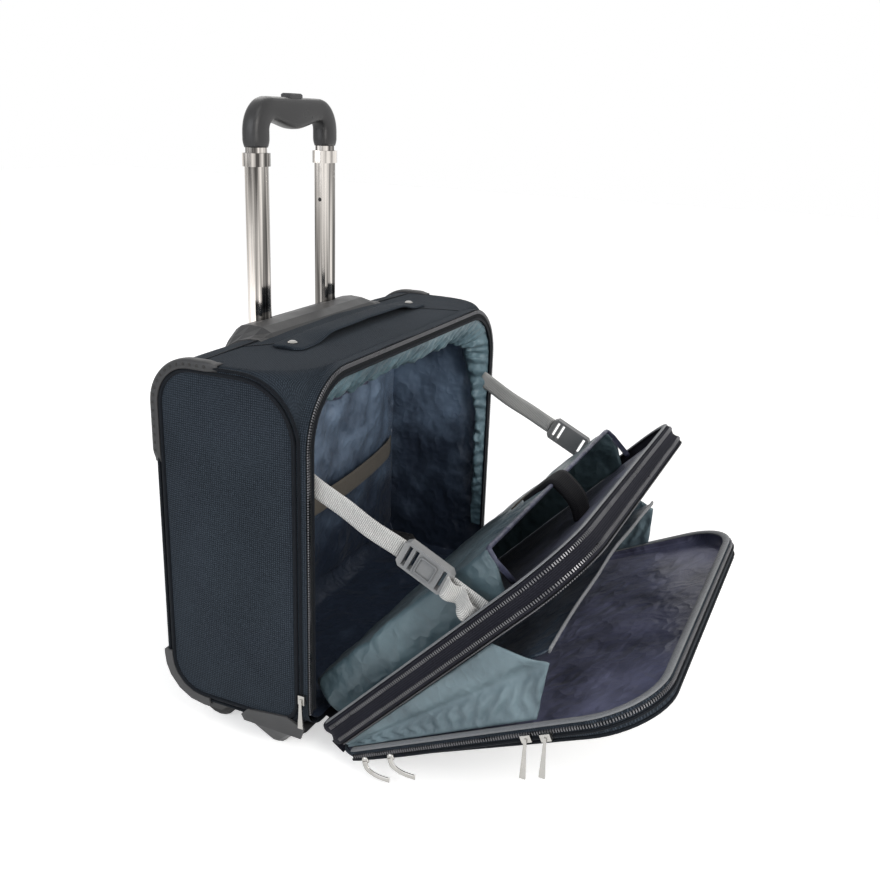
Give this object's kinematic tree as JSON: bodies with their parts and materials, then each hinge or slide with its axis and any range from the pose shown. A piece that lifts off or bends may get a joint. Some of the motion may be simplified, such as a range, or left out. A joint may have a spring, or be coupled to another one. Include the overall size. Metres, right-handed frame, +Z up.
{
  "type": "rolling pilot case",
  "caption": "Soft-sided two-wheel pilot case standing open, with a telescopic handle, a folding laptop panel and a front flap held by check straps.",
  "frame": {"origin": "on the floor, at the middle of the open case's footprint", "axes": "+Z up along the handle, -Y out of the open front, +X across the case's width"},
  "size_m": [0.4602, 0.5072, 0.628],
  "materials": {
    "outer_fabric": "woven",
    "lining_fabric": "satin",
    "webbing": "woven",
    "grey_plastic": "moulded",
    "black_plastic": "moulded",
    "chrome_tube": "polished",
    "zip_metal": "polished",
    "zip_tape": "woven",
    "tyre_rubber": "matte",
    "edge_binding": "satin"
  },
  "bodies": {
    "case": {"body_band": "outer_fabric", "left_side_panel": "outer_fabric", "right_side_panel": "outer_fabric", "carry_handle": "outer_fabric", "body_lining": "lining_fabric", "packing_strap": "webbing", "left_strap_upper": "webbing", "right_strap_upper": "webbing", "top_corner_guard_left": "grey_plastic", "top_corner_guard_right": "grey_plastic", "bottom_corner_guard_left": "grey_plastic", "bottom_corner_guard_right": "grey_plastic", "front_foot_left": "grey_plastic", "front_foot_right": "grey_plastic", "handle_bezel": "grey_plastic", "wheel_housing_left": "black_plastic", "wheel_housing_right": "black_plastic", "tube_bracket": "black_plastic", "left_piping": "zip_tape", "right_piping": "zip_tape", "body_zip_tape": "zip_tape", "outer_tube_left": "chrome_tube", "outer_tube_right": "chrome_tube", "zip_slider_body": "zip_metal", "handle_rivet_left": "zip_metal", "handle_rivet_right": "zip_metal", "wheel_axle_left": "zip_metal", "wheel_axle_right": "zip_metal"},
    "handle_stage": {"middle_tube_left": "chrome_tube", "middle_tube_right": "chrome_tube", "tube_collar_left": "chrome_tube", "tube_collar_right": "chrome_tube"},
    "grip_stage": {"inner_tube_left": "chrome_tube", "inner_tube_right": "chrome_tube", "grip": "black_plastic"},
    "button": {"release_button": "grey_plastic"},
    "wheel_left": {"wheel_hub_left": "grey_plastic", "wheel_tyre_left": "tyre_rubber"},
    "wheel_right": {"wheel_hub_right": "grey_plastic", "wheel_tyre_right": "tyre_rubber"},
    "mid_panel": {"mid_frame": "outer_fabric", "mid_board": "lining_fabric", "mid_binding": "edge_binding", "laptop_pocket": "lining_fabric", "laptop_strap": "zip_tape", "left_gusset": "lining_fabric", "right_gusset": "lining_fabric", "left_buckle": "grey_plastic", "right_buckle": "grey_plastic", "left_strap_lower": "webbing", "right_strap_lower": "webbing"},
    "flap": {"flap_tray": "outer_fabric", "flap_binding": "edge_binding", "flap_pocket": "outer_fabric", "zip_slider_low": "zip_metal", "zip_slider_high": "zip_metal"},
    "divider": {"divider": "lining_fabric"},
    "pull_body": {"zip_pull_body": "zip_metal"},
    "pull_low": {"zip_pull_low": "zip_metal"},
    "pull_high": {"zip_pull_high": "zip_metal"}
  },
  "joints": [
    {"name": "handle_extend", "type": "slide", "parent": "case", "child": "handle_stage", "axis": [0, 0, 1], "range_m": [-0.154, 0.06]},
    {"name": "grip_extend", "type": "slide", "parent": "handle_stage", "child": "grip_stage", "axis": [0, 0, 1], "range_m": [0, 0.25]},
    {"name": "button_press", "type": "slide", "parent": "grip_stage", "child": "button", "axis": [0, 0, -1], "range_m": [0, 0.0035], "stiffness_N_per_m": 600, "springref_m": -0.001},
    {"name": "wheel_spin_left", "type": "hinge", "parent": "case", "child": "wheel_left", "pos_m": [-0.1947, 0.20606, 0.022], "axis": [1, 0, 0], "continuous": true},
    {"name": "wheel_spin_right", "type": "hinge", "parent": "case", "child": "wheel_right", "pos_m": [0.1973, 0.20606, 0.022], "axis": [1, 0, 0], "continuous": true},
    {"name": "mid_fold", "type": "hinge", "parent": "case", "child": "mid_panel", "pos_m": [0.0013, 0.08206, 0.032], "axis": [1, 0, 0], "range_deg": [-43.5, 0], "deforming": ["left_strap_upper", "right_strap_upper", "left_strap_lower", "right_strap_lower"]},
    {"name": "flap_fold", "type": "hinge", "parent": "mid_panel", "child": "flap", "pos_m": [0.0013, 0.05436, 0.01398], "axis": [1, 0, 0], "range_deg": [-21, 0], "deforming": ["left_gusset", "right_gusset"]},
    {"name": "divider_fold", "type": "hinge", "parent": "mid_panel", "child": "divider", "pos_m": [0.0013, 0.05502, 0.02563], "axis": [1, 0, 0], "range_deg": [-10.5, 0]},
    {"name": "pull_swing_body", "type": "hinge", "parent": "case", "child": "pull_body", "pos_m": [-0.22935, 0.08706, 0.07], "axis": [0, 1, 0], "range_deg": [0, 100]},
    {"name": "pull_swing_low", "type": "hinge", "parent": "flap", "child": "pull_low", "pos_m": [-0.22505, -0.14065, 0.09759], "axis": [1, 0, 0], "range_deg": [-70, 70]},
    {"name": "pull_swing_high", "type": "hinge", "parent": "flap", "child": "pull_high", "pos_m": [-0.22685, -0.15884, 0.1059], "axis": [1, 0, 0], "range_deg": [-70, 70]}
  ],
  "couplings": [
    {"joint": "divider_fold", "follows": "flap_fold", "ratio": 0.5}
  ]
}
